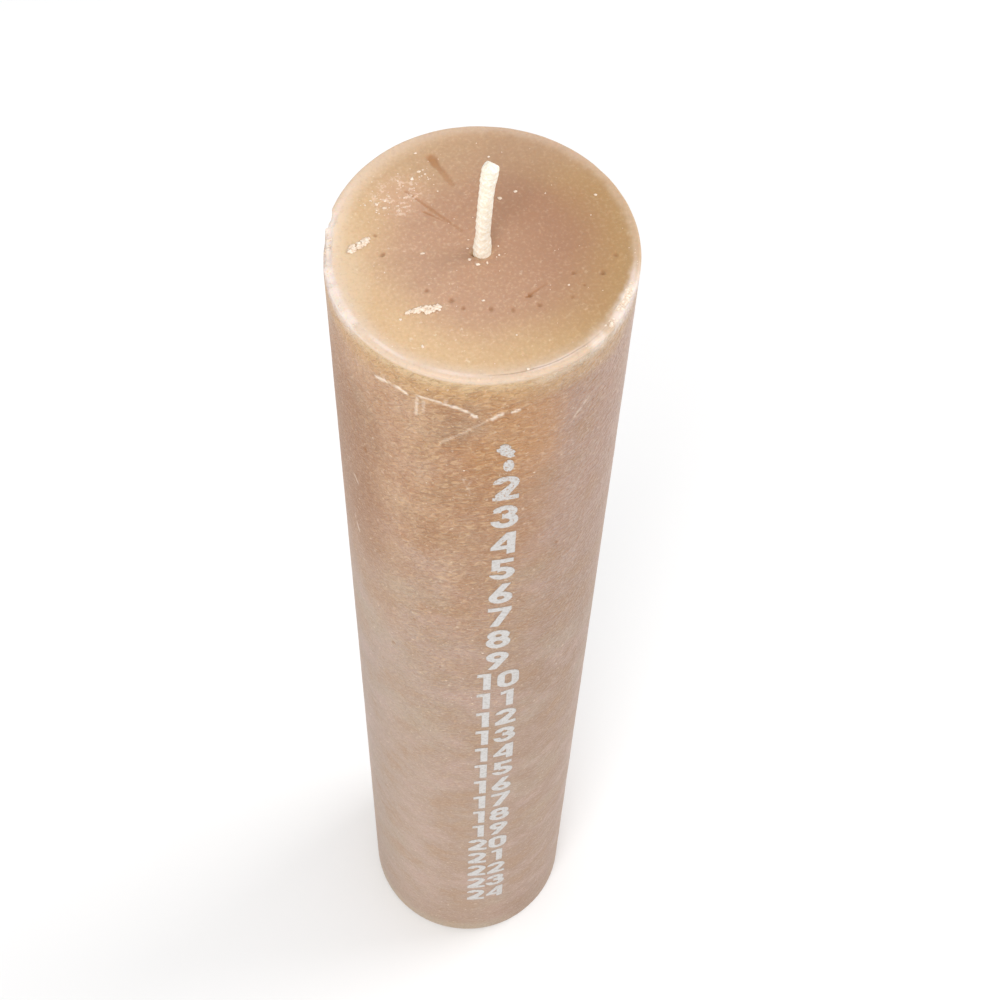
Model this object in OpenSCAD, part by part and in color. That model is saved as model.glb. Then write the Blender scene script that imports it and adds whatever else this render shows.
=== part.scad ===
// Calendar candle: a cast wax pillar with a braided wick on a tin sustainer, and the
// numbers 1 to 24 printed down its front as thin raised films. Millimetres, +Z up.
// The origin is the centre of the base, and the numbers face -Y.

/* [Pillar] */
// Diameter of the wax pillar
pillar_d = 55; // [45:1:80]
// Height of the wax, from the base to the rim
pillar_h = 300; // [290:1:360]
// Radius that rounds the top rim
rim_r = 0.5; // [0.3:0.1:3]
// Radius that rounds the bottom edge
foot_r = 1.2; // [0.6:0.1:2]
// How far the top face lies below the rim
dish_depth = 0.4; // [0.2:0.1:1]
// Width of the slope from the rim down to the top face
dish_slope = 3; // [2:0.5:6]

/* [Wick] */
// Diameter of the braided wick
wick_d = 2.7; // [2:0.1:4]
// Length of wick that stands out above the rim
wick_exposed = 22.2; // [8:0.1:30]
// Sideways lean of the wick's free end
wick_lean = 1.1; // [0.5:0.1:3]
// Slope of the cut across the wick's free end, in degrees
wick_cut = 32; // [10:1:45]
// Radius of the hollow in the wax around the wick
well_r = 4.5; // [3:0.5:8]
// Depth of that hollow below the top face
well_depth = 0.7; // [0.3:0.1:1.5]

/* [Sustainer] */
// Diameter of the tin disc under the wick
disc_d = 20; // [16:1:30]
// Thickness of the tin
tin_t = 0.3; // [0.2:0.05:0.5]
// How far the disc is set up into the base
disc_inset = 0.8; // [0.4:0.1:2]
// Radius of the pressed rib around the disc
rib_r = 6.5; // [5:0.5:7]
// Height of the pressed rib
rib_h = 0.6; // [0.4:0.1:1]
// Height of the collar that grips the wick
collar_h = 7; // [4:0.5:12]

/* [Numbers] */
// Height of a digit
digit_h = 8.4; // [7:0.1:9]
// Width of a digit
digit_w = 4.9; // [4.6:0.1:5.2]
// Width of a digit's strokes
stroke = 1.65; // [1.2:0.05:1.8]
// Distance from one digit's middle to the next one's in a pair
digit_step = 5.4; // [5.2:0.1:6]
// Distance from one number down to the next
number_step = 10.5; // [9.5:0.1:10.8]
// Distance from the rim down to the top of the number 1
first_drop = 21; // [18:0.5:30]
// Thickness of the printed film
film_t = 0.15; // [0.1:0.05:0.3]

/* [Hidden] */
NUMBERS = 24;
NUMBER_NODES = [for (n = [1 : NUMBERS]) str("number_", n < 10 ? "0" : "", n)];

$fn = 96;
pillar_r = pillar_d / 2;
wick_r = wick_d / 2;
face_z = pillar_h - dish_depth;     // the flat of the top face
mouth_z = face_z - well_depth;      // where the wick leaves the wax
tin_z = disc_inset;                 // underside of the tin disc
collar_r = wick_r + tin_t;
rib_w = 1.4;                        // width of the pressed rib, measured outside
recess_gap = 0.5;                   // open ring around the disc in the base
arc_steps = 8;                      // straight steps in a quarter-round edge

// Points along a circular arc from angle a0 to angle a1.
function arc(centre, r, a0, a1, steps = arc_steps) =
    [for (i = [0 : steps]) let (a = a0 + (a1 - a0) * i / steps)
        centre + r * [cos(a), sin(a)]];

// ---- Wax pillar ----

// Half section of the wax, without the hollows in its base.
module pillar_section() {
    polygon(concat(
        [[0, 0]],
        arc([pillar_r - foot_r, foot_r], foot_r, -90, 0),
        arc([pillar_r - rim_r, pillar_h - rim_r], rim_r, 0, 90),
        [[pillar_r - rim_r - dish_slope, face_z]],
        [[well_r, face_z]],
        [[wick_r, mouth_z], [0, mouth_z]]
    ));
}

// The wax: cast round the wick and its collar, with a round recess for the tin disc.
module wax_pillar() {
    color("#c9a383") difference() {
        rotate_extrude() pillar_section();
        wick_channel();
        sustainer_space();
        translate([0, 0, -1]) cylinder(r = disc_d / 2 + recess_gap, h = tin_z + tin_t + 1);
    }
}

module wick_channel() {
    translate([0, 0, -1]) cylinder(r = wick_r, h = pillar_h + 2);
}

// ---- Wick ----

// A straight length held in the wax, then a free end that bends over gently to +X.
module wick() {
    free_length = pillar_h + wick_exposed - mouth_z;
    bend_r = (free_length * free_length + wick_lean * wick_lean) / (2 * wick_lean);
    bend_angle = asin(free_length / bend_r);
    tip = [wick_lean, 0, pillar_h + wick_exposed];
    color("#f3ead8") difference() {
        union() {
            translate([0, 0, tin_z]) cylinder(r = wick_r, h = mouth_z - tin_z);
            translate([bend_r, 0, mouth_z]) rotate([90, 0, 180])
                rotate_extrude(angle = bend_angle, $fn = 720) translate([bend_r, 0]) circle(wick_r);
        }
        translate(tip) rotate([0, wick_cut, 0]) translate([-2 * wick_d, -wick_d, 0])
            cube([4 * wick_d, 2 * wick_d, 2 * wick_d]);
    }
}

// ---- Wick sustainer ----

// Ring with a square section, from radius r0 to r1, standing on height z.
module flat_ring(r0, r1, z, h) {
    translate([0, 0, z]) difference() {
        cylinder(r = r1, h = h);
        translate([0, 0, -1]) cylinder(r = r0, h = h + 2);
    }
}

// Outside shape of the rib and collar, which the wax fits round.
module sustainer_space() {
    flat_ring(rib_r - rib_w / 2, rib_r + rib_w / 2, tin_z, tin_t + rib_h);
    translate([0, 0, tin_z]) cylinder(r = collar_r, h = tin_t + collar_h);
}

// A stamped tin disc with a stiffening rib, drawn up in the middle into the wick's collar.
module wick_sustainer() {
    color("#c8c8c4") difference() {
        union() {
            translate([0, 0, tin_z]) cylinder(r = disc_d / 2, h = tin_t);
            sustainer_space();
        }
        flat_ring(rib_r - rib_w / 2 + tin_t, rib_r + rib_w / 2 - tin_t, tin_z - 1, 1 + rib_h);
        translate([0, 0, tin_z - 1]) cylinder(r = wick_r, h = collar_h + tin_t + 2);
    }
}

// ---- Digits ----
// Each digit is centred on x = 0 and stands on y = 0. Outlines run anticlockwise.

big_r = digit_w / 2;
upper_r = (digit_h + stroke) / 4 - 0.13;        // upper bowl of 3 and 8
lower_r = (digit_h + stroke) / 2 - upper_r;     // lower bowl, a little larger
bar = stroke * 0.92;                            // level strokes are a little thinner

// Band of one stroke's width inside a circle of radius r.
module bowl(r, y) {
    translate([0, y]) difference() {
        circle(r);
        circle(r - stroke);
    }
}

// Upright oval with straight sides.
module oval(w, h) {
    translate([0, w / 2]) circle(w / 2);
    translate([0, h - w / 2]) circle(w / 2);
    translate([-w / 2, w / 2]) square([w, h - w]);
}

module digit_0() {
    difference() {
        oval(digit_w, digit_h);
        translate([0, stroke]) oval(digit_w - 2 * stroke, digit_h - 2 * stroke);
    }
}

module digit_1() {
    flag = 1.35;
    left = (flag - stroke) / 2;
    translate([left, 0]) square([stroke, digit_h]);
    polygon([[left + 0.1, digit_h], [left - flag, digit_h - 0.4], [left - flag, digit_h - bar - 0.35],
             [left + 0.1, digit_h - bar]]);
}

// An open bowl that runs on, from inside its own band, into a straight slanting stroke.
module digit_2() {
    c = [0, digit_h - big_r];
    cut = c + 2 * digit_w * [cos(-45), sin(-45)];
    from = [cos(-30), sin(-30)];
    difference() {
        bowl(big_r, c.y);
        polygon([c, [0, c.y + 0.1], [-digit_w, c.y + 0.1], [-digit_w, -digit_w], cut]);
    }
    polygon([c + (big_r - 0.02) * from, c + (big_r - stroke + 0.02) * from, [-big_r, bar],
             [-big_r, bar / 2], [-big_r + 1.5 * stroke, bar / 2]]);
    translate([-big_r, 0]) square([digit_w, bar]);
}

module digit_3() {
    difference() {
        union() {
            bowl(lower_r, lower_r);
            bowl(upper_r, digit_h - upper_r);
        }
        translate([-digit_w, lower_r + 0.1]) square([digit_w - 0.5, digit_h - lower_r - upper_r - 0.2]);
    }
}

module digit_4() {
    foot_y = 1.9;
    right = big_r - 0.1;
    stem = right - stroke;
    difference() {
        polygon([[right, 0], [right, digit_h], [stem - 0.2, digit_h], [-big_r, foot_y + 1], [-big_r, foot_y],
                 [stem, foot_y], [stem, 0]]);
        polygon([[stem, foot_y + bar], [stem, digit_h - 2.7], [stem - 1.5, foot_y + bar]]);
    }
}

module digit_5() {
    left = -big_r + 0.35;
    bowl_r = 2.6;
    step_y = 3.9;
    difference() {
        bowl(bowl_r, bowl_r);
        translate([-digit_w, bowl_r - 0.5]) square([digit_w - 0.9, step_y - bowl_r + 0.5]);
    }
    translate([left, step_y]) square([stroke, digit_h - step_y]);
    translate([left, digit_h - bar]) square([digit_w - 0.6, bar]);
}

// A bowl with a straight stroke that leaves its left side and leans to the right.
module digit_6() {
    lean = 26;
    along = [sin(lean), cos(lean)];
    across = [-cos(lean), sin(lean)];
    c = [0, big_r];
    near = c + (big_r - 0.02) * across;
    far = c + (big_r - stroke) * across;
    bowl(big_r, big_r);
    polygon([near, far, far + along * (digit_h - far.y) / along.y,
             near + along * (digit_h - near.y) / along.y]);
}

module digit_7() {
    foot_x = -big_r + 0.5;
    translate([-big_r, digit_h - bar]) square([digit_w, bar]);
    polygon([[big_r, digit_h - bar / 2], [big_r - 1.15 * stroke, digit_h - bar / 2],
             [big_r - 1.15 * stroke, digit_h - bar], [foot_x, 0], [foot_x + 1.1 * stroke, 0],
             [big_r, digit_h - bar]]);
}

module digit_8() {
    bowl(lower_r, lower_r);
    bowl(upper_r, digit_h - upper_r);
}

module digit_9() {
    translate([0, digit_h]) rotate(180) digit_6();
}

module digit(d) {
    if (d == 0) digit_0();
    if (d == 1) digit_1();
    if (d == 2) digit_2();
    if (d == 3) digit_3();
    if (d == 4) digit_4();
    if (d == 5) digit_5();
    if (d == 6) digit_6();
    if (d == 7) digit_7();
    if (d == 8) digit_8();
    if (d == 9) digit_9();
}

// ---- Numbers ----

// One digit as a film that follows the curve of the wax.
module film(d, x, z) {
    intersection() {
        translate([x, 0, z]) rotate([90, 0, 0]) linear_extrude(pillar_r + 1) digit(d);
        flat_ring(pillar_r, pillar_r + film_t, z - 1, digit_h + 2);
    }
}

// Number n of the column, counted down from the rim.
module printed_number(n) {
    z = pillar_h - first_drop - digit_h - (n - 1) * number_step;
    tens = floor(n / 10);
    shift = tens > 0 ? digit_step / 2 : 0;
    color("#dfe0dd") {
        film(n % 10, shift, z);
        if (tens > 0) film(tens, -shift, z);
    }
}

wax_pillar();
wick();
wick_sustainer();
for (n = [1 : NUMBERS])
    printed_number(n);
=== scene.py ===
import math
import random
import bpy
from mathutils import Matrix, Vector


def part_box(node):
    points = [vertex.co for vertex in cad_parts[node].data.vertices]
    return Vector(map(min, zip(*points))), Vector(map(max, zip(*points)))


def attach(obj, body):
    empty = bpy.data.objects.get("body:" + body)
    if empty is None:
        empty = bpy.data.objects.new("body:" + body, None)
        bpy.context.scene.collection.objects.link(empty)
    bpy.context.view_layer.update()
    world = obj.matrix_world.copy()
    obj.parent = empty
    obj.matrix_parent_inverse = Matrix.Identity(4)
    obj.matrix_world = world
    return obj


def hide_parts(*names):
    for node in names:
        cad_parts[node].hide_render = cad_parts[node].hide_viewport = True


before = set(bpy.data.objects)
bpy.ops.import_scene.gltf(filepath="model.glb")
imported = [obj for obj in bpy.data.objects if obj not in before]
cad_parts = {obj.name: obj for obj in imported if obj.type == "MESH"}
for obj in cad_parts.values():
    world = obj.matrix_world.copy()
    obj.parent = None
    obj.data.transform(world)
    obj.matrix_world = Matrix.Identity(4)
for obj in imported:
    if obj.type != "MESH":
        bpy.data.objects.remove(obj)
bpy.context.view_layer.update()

from types import SimpleNamespace

import bpy
import numpy as np
from mathutils import Matrix, Vector, noise

MM = 0.001
WAX_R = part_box("wax_pillar")[1].x
WAX_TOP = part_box("wax_pillar")[1].z
WICK_LOW, WICK_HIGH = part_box("wick")
TIN_LOW, TIN_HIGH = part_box("wick_sustainer")
NUMBERS = sorted(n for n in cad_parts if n.startswith("number_"))


# ---- Working on a mesh ----

def take(piece):
    """Leaves object mode with this piece alone selected and active."""
    if bpy.context.mode != "OBJECT":
        bpy.ops.object.mode_set(mode="OBJECT")
    bpy.ops.object.select_all(action="DESELECT")
    piece.select_set(True)
    bpy.context.view_layer.objects.active = piece


def call(name):
    """Names the primitive that was just added, for its piece."""
    piece = bpy.context.object
    piece.name = piece.data.name = name
    return piece


def open_all(piece):
    """Into edit mode with everything selected."""
    take(piece)
    bpy.ops.object.mode_set(mode="EDIT")
    bpy.ops.mesh.select_mode(type="VERT")
    bpy.ops.mesh.select_all(action="SELECT")


def open_faces(piece, chosen):
    """Into edit mode with the chosen faces selected: one True or False for each face."""
    take(piece)
    bpy.context.tool_settings.mesh_select_mode = (False, False, True)
    mesh = piece.data
    mesh.vertices.foreach_set("select", np.zeros(len(mesh.vertices), bool))
    mesh.edges.foreach_set("select", np.zeros(len(mesh.edges), bool))
    mesh.polygons.foreach_set("select", np.asarray(chosen, bool))
    bpy.ops.object.mode_set(mode="EDIT")


def close():
    """Back to object mode."""
    bpy.ops.object.mode_set(mode="OBJECT")


def points(piece):
    """The mesh's points, one row each."""
    flat = np.empty(len(piece.data.vertices) * 3)
    piece.data.vertices.foreach_get("co", flat)
    return flat.reshape(-1, 3)


def put(piece, moved):
    """Moves the mesh's points, as sculpting does."""
    piece.data.vertices.foreach_set("co", np.asarray(moved, np.float32).ravel())
    piece.data.update()


def face_centres(piece):
    """The middle of each face, one row each."""
    flat = np.empty(len(piece.data.polygons) * 3)
    piece.data.polygons.foreach_get("center", flat)
    return flat.reshape(-1, 3)


def paint(piece, name, amounts):
    """Stores a number on each point, for the finish to read."""
    attributes = piece.data.attributes
    layer = attributes.get(name) or attributes.new(name, "FLOAT", "POINT")
    layer.data.foreach_set("value", np.asarray(amounts, np.float32))


def lumps(at, size, seed):
    """Smooth noise from -1 to 1 at each point, with lumps of about this size in mm."""
    shift = Vector((7.3, 3.1, 5.7)) * seed
    return np.array([noise.noise(Vector(p) / (size * MM) + shift) for p in at])


def ease(amount, low, high):
    """0 below low, 1 above high, and smooth between."""
    t = np.clip((np.asarray(amount, float) - low) / (high - low), 0, 1)
    return t * t * (3 - 2 * t)


def finish_with(piece, kind, **settings):
    """Adds a modifier and applies it."""
    take(piece)
    modifier = piece.modifiers.new(kind.title(), kind)
    for name, value in settings.items():
        setattr(modifier, name, value)
    bpy.ops.object.modifier_apply(modifier=modifier.name)


# ---- Wax pillar ----

RIM_R, SLOPE, DISH = 0.5 * MM, 3.0 * MM, 0.4 * MM
WELL_R, WELL_DEPTH = 4.5 * MM, 0.7 * MM
FOOT_R = 1.2 * MM
FACE_Z = WAX_TOP - DISH
BORE_R = 1.42 * MM
GAP = 0.03 * MM
# The recess in the base, as the wax is moulded round the sustainer
RECESS_EDGE, RECESS_LIP = 0.5 * MM, 0.4 * MM
TIN_THICK, RIB_RISE = 0.3 * MM, 0.6 * MM
COLLAR_R, RIB_IN_R, RIB_OUT_R = 1.65 * MM, 5.8 * MM, 7.2 * MM
PILLAR_STEPS = 300
MERGE = 0.004 * MM
# How deep the cracks and the small pits in the wall are, in mm
CRACK_DEPTH, WALL_PIT_DEPTH = 0.07, 0.22

# x, y, radius and depth of the pits in the top face, in mm
PITS = [(-17.1, 1.8, 0.8, 0.3), (-17.7, 5.9, 0.5, 0.1), (22.45, -5.0, 0.65, 0.2),
        (19.4, -8.3, 0.75, 0.35), (14.4, -7.55, 0.6, 0.2), (6.2, -10.8, 0.75, 0.25),
        (7.4, -13.1, 0.7, 0.2), (-7.1, -9.7, 0.8, 0.25), (-5.5, -11.7, 0.6, 0.15),
        (-0.85, -12.6, 0.65, 0.2), (2.8, -13.4, 0.65, 0.2), (13.3, -12.5, 0.5, 0.12),
        (15.8, -10.4, 0.5, 0.12), (-10.8, -7.0, 0.6, 0.15), (-1.7, -0.5, 0.6, 0.5)]
# Start, end, half width at each end and depth of the scored marks in the top face, in mm
SCORES = [((-5.3, 21.3), (-2.7, 14.9), 1.25, 0.7, 0.3),
          ((-10.9, 14.6), (-2.9, 4.6), 0.42, 0.5, 0.16),
          ((5.6, -11.1), (9.6, -9.0), 0.4, 0.2, 0.15),
          ((-8.6, 9.7), (-5.4, 7.0), 0.3, 0.2, 0.08)]
# Bites out of the rim: angle from the front, half angle, depth in and depth down,
# in degrees and mm
BITES = [(-100, 9, 0.8, 0.9), (-113, 5, 0.5, 0.5), (-86, 5, 0.4, 0.5), (57, 7, 0.4, 0.5),
         (48, 4, 0.3, 0.3), (-66, 4, 0.25, 0.3), (36, 5, 0.15, 0.25)]
# Cracks in the wall: how plain each is, then its (angle from the front, height) points,
# in degrees and mm
CRACKS = [(1.0, [(-51, 291.0), (-44.8, 292.0), (-41, 291.9), (-37.9, 291.3)]),
          (0.9, [(-34, 291.9), (-27.3, 292.1), (-19, 291.3), (-15.2, 290.3), (-12.2, 288.8)]),
          (1.0, [(-7.7, 287.8), (-2.6, 289.5)]), (1.0, [(0.6, 289.7), (3.3, 290.2)]),
          (0.6, [(-33.7, 290.9), (-34.3, 286)]), (0.35, [(-31.2, 291), (-31.5, 287.5)]),
          (0.3, [(-22.5, 280.6), (-16, 283.8), (-10.6, 286.6), (-3, 290)]),
          (0.3, [(-25.1, 279.1), (-14.2, 284.8)]), (0.6, [(-70.4, 246.4), (-67.4, 245.1)]),
          (0.6, [(-73.3, 228.3), (-70.1, 224.1)]), (0.35, [(-16.4, 267.7), (-13.7, 262.9)]),
          (0.3, [(-15, 265.6), (-13, 267.5)]), (0.55, [(26.2, 280.6), (29.7, 282.5), (33, 284.2)])]
# Angle from the front, height and radius of the small pits in the wall, in degrees and mm
WALL_PITS = [(-49.9, 187, 0.75), (-29.7, 294.6, 0.6), (-38, 205, 0.45), (24, 236, 0.5),
             (-60, 262, 0.5)]


def wax_section():
    """Half section of the wax as (radius, height), once round from the recess in its base."""
    foot, rim, rim_z = WAX_R - FOOT_R, WAX_R - RIM_R, WAX_TOP - RIM_R
    disc_r, collar_top = TIN_HIGH.x + RECESS_EDGE, TIN_HIGH.z
    roof = TIN_LOW.z + TIN_THICK + GAP
    collar, rib_in, rib_out = COLLAR_R + GAP, RIB_IN_R - GAP, RIB_OUT_R + GAP
    eighths = np.linspace(0, 1, 9)[1:]
    line = [(r, 0.0) for r in np.linspace(disc_r, foot, 9)]
    line += [(foot + FOOT_R * math.sin(a), FOOT_R - FOOT_R * math.cos(a))
             for a in np.radians((18, 36, 54, 72, 90))]
    line += [(WAX_R, z) for z in np.linspace(FOOT_R, rim_z, 161)[1:]]
    line += [(rim + RIM_R * math.cos(a), rim_z + RIM_R * math.sin(a))
             for a in np.radians(np.linspace(15, 90, 6))]
    line += [(rim - SLOPE * t, WAX_TOP - DISH * float(ease(t, 0, 1))) for t in eighths]
    line += [(r, FACE_Z) for r in np.linspace(rim - SLOPE, WELL_R, 46)[1:]]
    line += [(WELL_R + (BORE_R - WELL_R) * t, FACE_Z - WELL_DEPTH * t ** 1.8) for t in eighths]
    line += [(BORE_R, z) for z in (FACE_Z - 1.2 * MM, FACE_Z - 4 * MM, collar_top + GAP)]
    line += [(collar, collar_top + GAP), (collar, roof), (rib_in, roof),
             (rib_in, roof + RIB_RISE), (rib_out, roof + RIB_RISE), (rib_out, roof),
             (disc_r, roof), (disc_r, RECESS_LIP)]
    return line


def spun(name, section, steps):
    """Draws a closed half section point by point and spins it round the upright axis."""
    bpy.ops.mesh.primitive_plane_add(size=2 * MM, location=(section[0][0], 0, section[0][1]))
    piece = call(name)
    bpy.ops.object.transform_apply(location=True, rotation=False, scale=False)
    open_all(piece)
    bpy.ops.mesh.merge(type="CENTER")
    for (r0, z0), (r1, z1) in zip(section, section[1:] + section[:1]):
        step = {"value": (r1 - r0, 0, z1 - z0)}
        bpy.ops.mesh.extrude_region_move(TRANSFORM_OT_translate=step)
    bpy.ops.mesh.select_all(action="SELECT")
    bpy.ops.mesh.remove_doubles(threshold=MERGE)
    bpy.ops.mesh.spin(steps=steps, angle=2 * math.pi, center=(0, 0, 0), axis=(0, 0, 1))
    bpy.ops.mesh.select_all(action="SELECT")
    bpy.ops.mesh.remove_doubles(threshold=MERGE)
    bpy.ops.mesh.normals_make_consistent(inside=False)
    close()
    return piece


def near_line(at, start, end):
    """Distance from each point to a level line, and how far along it, from 0 to 1."""
    a, b = np.array(start) * MM, np.array(end) * MM
    along = np.clip((at[:, :2] - a) @ (b - a) / ((b - a) @ (b - a)), 0, 1)
    return np.linalg.norm(at[:, :2] - a - along[:, None] * (b - a), axis=1), along


def wall_hollow(at):
    """How far the wall lies inside its full radius: the soft lumps of the casting."""
    return MM * (0.04 * (1 - lumps(at, 15, 1)) + 0.02 * (1 - lumps(at, 4, 2)))


def from_front(at):
    """Angle of each point round the pillar, in degrees, from the front towards +X."""
    return np.degrees(np.arctan2(at[:, 0], -at[:, 1]))


def off_angle(at, angle):
    """Degrees round the pillar between each point and an angle from the front."""
    return np.abs((from_front(at) - angle + 180) % 360 - 180)


def near_crack(at, crack):
    """Distance along the wall from each point to a crack."""
    arc = math.radians(1) * WAX_R
    flat = np.column_stack([from_front(at) * arc, at[:, 2]])
    away = np.full(len(at), 1.0)
    for (a0, z0), (a1, z1) in zip(crack, crack[1:]):
        p, q = np.array([a0 * arc, z0 * MM]), np.array([a1 * arc, z1 * MM])
        along = np.clip((flat - p) @ (q - p) / ((q - p) @ (q - p)), 0, 1)
        away = np.minimum(away, np.linalg.norm(flat - p - along[:, None] * (q - p), axis=1))
    return away


def near_hole(at, angle, z):
    """Distance along the wall from each point to the middle of a small pit."""
    return near_crack(at, [(angle, z), (angle, z + 0.01)])


def finer(piece, test, cuts=1):
    """Subdivides the faces whose centres pass a test."""
    open_faces(piece, test(face_centres(piece)))
    bpy.ops.mesh.subdivide(number_cuts=cuts)
    close()


def marked_top(at):
    """Faces of the top that carry a pit or a scored mark."""
    found = np.zeros(len(at), bool)
    for x, y, r, _ in PITS:
        found |= np.hypot(at[:, 0] - x * MM, at[:, 1] - y * MM) < (r + 0.5) * MM
    for start, end, w0, w1, _ in SCORES:
        away, along = near_line(at, start, end)
        found |= away < (w0 + (w1 - w0) * along + 0.35) * MM
    return found & (at[:, 2] > FACE_Z - 0.9 * MM)


def bitten_rim(at):
    """Faces round the rim where it is bitten."""
    near = np.zeros(len(at), bool)
    for angle, half, _, _ in BITES:
        near |= off_angle(at, angle) < half * 1.3
    r = np.hypot(at[:, 0], at[:, 1])
    return near & (at[:, 2] > WAX_TOP - 2.4 * MM) & (r > WAX_R - 2.6 * MM)


def cracked_wall(at):
    """Faces of the wall that carry a crack or a small pit."""
    near = np.zeros(len(at), bool)
    for _, crack in CRACKS:
        near |= near_crack(at, crack) < 1.2 * MM
    for angle, z, size in WALL_PITS:
        near |= near_hole(at, angle, z) < (size + 0.6) * MM
    return near & (np.hypot(at[:, 0], at[:, 1]) > WAX_R - 0.5 * MM)


def cracks(at, wall):
    """How plain the cracks in the wall are at each point, with ragged, broken edges."""
    crack = np.zeros(len(at))
    for plain, line in CRACKS:
        width = (0.26 + 0.22 * plain + 0.15 * lumps(at, 1.2, 9)) * MM
        off = near_crack(at, line) / width + 0.4 * lumps(at, 0.9, 14)
        crack = np.maximum(crack, plain * (1 - ease(off, 0.2, 1.2)))
    unbroken = ease(lumps(at, 1.1, 10), -0.6, -0.1)
    return crack * wall * unbroken * (at[:, 2] < WAX_TOP - 2 * MM)


def wall_pits(at, wall):
    """How far each point lies into a small pit in the wall, from 0 to 1."""
    hole = np.zeros(len(at))
    for angle, z, size in WALL_PITS:
        away = near_hole(at, angle, z) / (size * MM)
        hole = np.maximum(hole, wall * (1 - ease(away + 0.3 * lumps(at, 0.9, 6), 0.3, 1)))
    return hole


def face_lumps(at, r, top):
    """How far the top face and the rim sag under their full height."""
    sag = top * MM * (0.03 * (1 - lumps(at, 6, 3)) + 0.015 * (1 - lumps(at, 1.6, 4)))
    rim = ease(r, WAX_R - 1.8 * MM, WAX_R - 0.6 * MM) * (at[:, 2] > WAX_TOP - 0.8 * MM)
    return sag + rim * MM * 0.12 * np.clip(lumps(at, 2.5, 5) + 0.1, 0, 1)


def top_pits(at):
    """How far each point lies into a pit in the top face, and how deep that takes it."""
    pit, down = np.zeros(len(at)), np.zeros(len(at))
    on_top = at[:, 2] > FACE_Z - 0.9 * MM
    for x, y, size, depth in PITS:
        away = np.hypot(at[:, 0] - x * MM, at[:, 1] - y * MM) / (size * MM)
        cup = on_top * (1 - ease(away + 0.35 * lumps(at, 0.7, 6), 0.25, 1))
        down += cup * depth * MM
        pit = np.maximum(pit, cup)
    return pit, down


def scored_marks(at, top):
    """How plain the scored marks are at each point, and how deep they go."""
    score, down = np.zeros(len(at)), np.zeros(len(at))
    for start, end, w0, w1, depth in SCORES:
        away, along = near_line(at, start, end)
        width = (w0 + (w1 - w0) * along) * MM * (1 + 0.4 * lumps(at, 1.5, 7))
        cut = top * (1 - ease(away / width, 0.3, 1)) * (1 - 0.6 * along)
        down += cut * depth * MM
        score = np.maximum(score, cut)
    return score, down


def rim_bites(at, r):
    """How badly each point is bitten, and how far that takes it inwards and down."""
    chip, inwards, down = np.zeros(len(at)), np.zeros(len(at)), np.zeros(len(at))
    near_rim = (ease(at[:, 2], WAX_TOP - 3.0 * MM, WAX_TOP - 0.6 * MM)
                * ease(r, WAX_R - 1.9 * MM, WAX_R - 0.6 * MM))
    ragged = lumps(at, 1.3, 8)
    for angle, half, inward, drop in BITES:
        off = off_angle(at, angle) / half + 0.4 * ragged
        bite = near_rim * (1 - ease(off, 0.4, 1.1)) * (0.8 + 0.35 * ragged)
        inwards += bite * inward * MM
        down += bite * drop * MM
        chip = np.maximum(chip, bite)
    return chip, inwards, down


def wax_pillar():
    """The cast wax: spun from its section, then worn, pitted, scored, cracked and bitten."""
    pillar = spun("wax_pillar_body", wax_section(), PILLAR_STEPS)
    finer(pillar, marked_top)
    finer(pillar, bitten_rim)
    finer(pillar, cracked_wall, cuts=3)

    at = points(pillar)
    r = np.hypot(at[:, 0], at[:, 1])
    out = at[:, :2] / r[:, None]
    top = (at[:, 2] > FACE_Z - 0.5 * MM) * ease(r, 2 * MM, 4 * MM)
    wall = ease(r, WAX_R - 3 * MM, WAX_R - 0.5 * MM)
    at[:, :2] -= out * (wall_hollow(at) * wall)[:, None]
    crack = cracks(at, wall)
    at[:, :2] -= out * (crack * CRACK_DEPTH * MM)[:, None]
    hole = wall_pits(at, wall)
    at[:, :2] -= out * (hole * WALL_PIT_DEPTH * MM)[:, None]

    pit, pit_down = top_pits(at)
    score, score_down = scored_marks(at, top)
    chip, chip_inwards, chip_down = rim_bites(at, r)
    down = face_lumps(at, r, top) + pit_down + score_down + chip_down
    at[:, :2] -= out * chip_inwards[:, None]
    at[:, 2] -= down
    put(pillar, at)
    marks = {"pit": np.maximum(hole, pit), "score": score, "chip": chip, "crack": crack}
    for name, amounts in marks.items():
        paint(pillar, name, amounts)
    take(pillar)
    bpy.ops.object.shade_smooth_by_angle(angle=math.radians(45))
    return pillar


# ---- Wick ----

YARNS, YARN_R, YARN_PITCH, YARN_STEPS = 8, 0.42 * MM, 7.2 * MM, 160
CORE_R, ROD_R = 1.22 * MM, 1.33 * MM
# Where the braid takes over from the plain length, and how far that reaches up into it
BRAID_LOW, LAP = WAX_TOP - 6 * MM, 1 * MM
# Where the free end starts to bend, and how far its tip stands to +X
BEND_FROM, BEND = WAX_TOP - 1.1 * MM, 1.1 * MM


def wick_centre(z):
    """Middle of the wick at a height: straight in the wax, then bending gently to +X."""
    t = max(0.0, (z - BEND_FROM) / (WICK_HIGH.z - BEND_FROM))
    return Vector((BEND * t * t, 0, z))


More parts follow.
